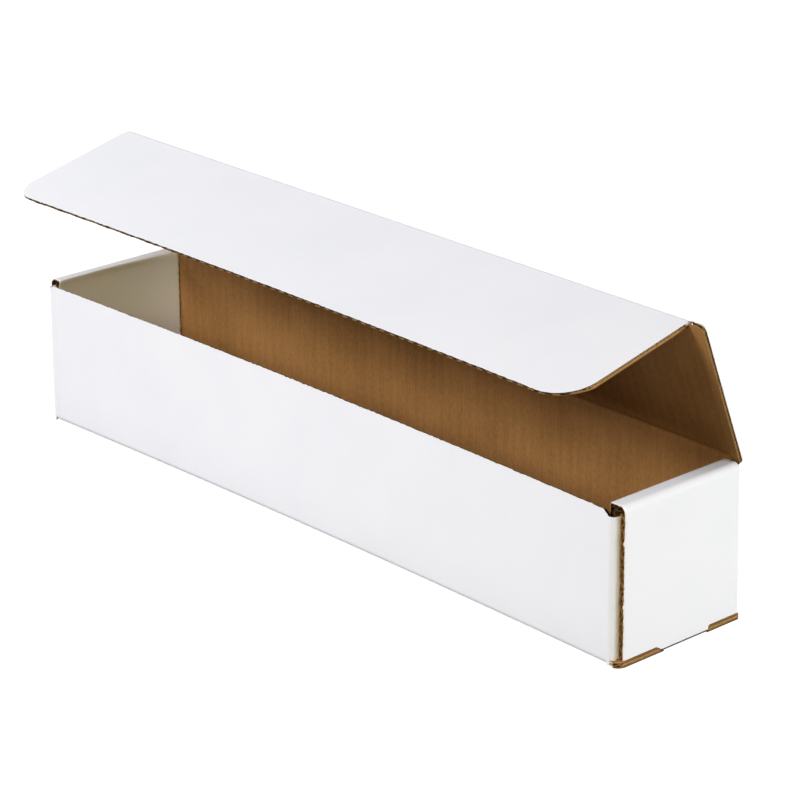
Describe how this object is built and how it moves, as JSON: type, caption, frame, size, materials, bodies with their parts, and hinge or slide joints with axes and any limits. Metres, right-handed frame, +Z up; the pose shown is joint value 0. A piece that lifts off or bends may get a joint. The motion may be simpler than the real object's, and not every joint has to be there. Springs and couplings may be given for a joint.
{
  "type": "corrugated box mailer",
  "caption": "Long slim corrugated mailer folded from one sheet, with roll-over ends, dust flaps, lock tabs, a hinged lid and a tuck flap; white outside, kraft inside.",
  "frame": {"origin": "middle of the underside", "axes": "+X along the box to its right end seen from the front, +Y from the front wall to the hinged back wall, +Z up"},
  "size_m": [0.4266, 0.1057, 0.1521],
  "materials": {
    "white_board": "matt"
  },
  "bodies": {
    "tray": {"tray": "white_board"},
    "lid": {"lid": "white_board"},
    "tuck_flap": {"tuck_flap": "white_board"}
  },
  "joints": [
    {"name": "lid_fold", "type": "hinge", "parent": "tray", "child": "lid", "pos_m": [0, 0.0397, 0.08125], "axis": [-1, 0, 0], "range_deg": [-51.7, 112.3]},
    {"name": "tuck_flap_fold", "type": "hinge", "parent": "lid", "child": "tuck_flap", "pos_m": [0, 0.01139, 0.15027], "axis": [1, 0, 0], "range_deg": [-80.4, 39.6]}
  ]
}
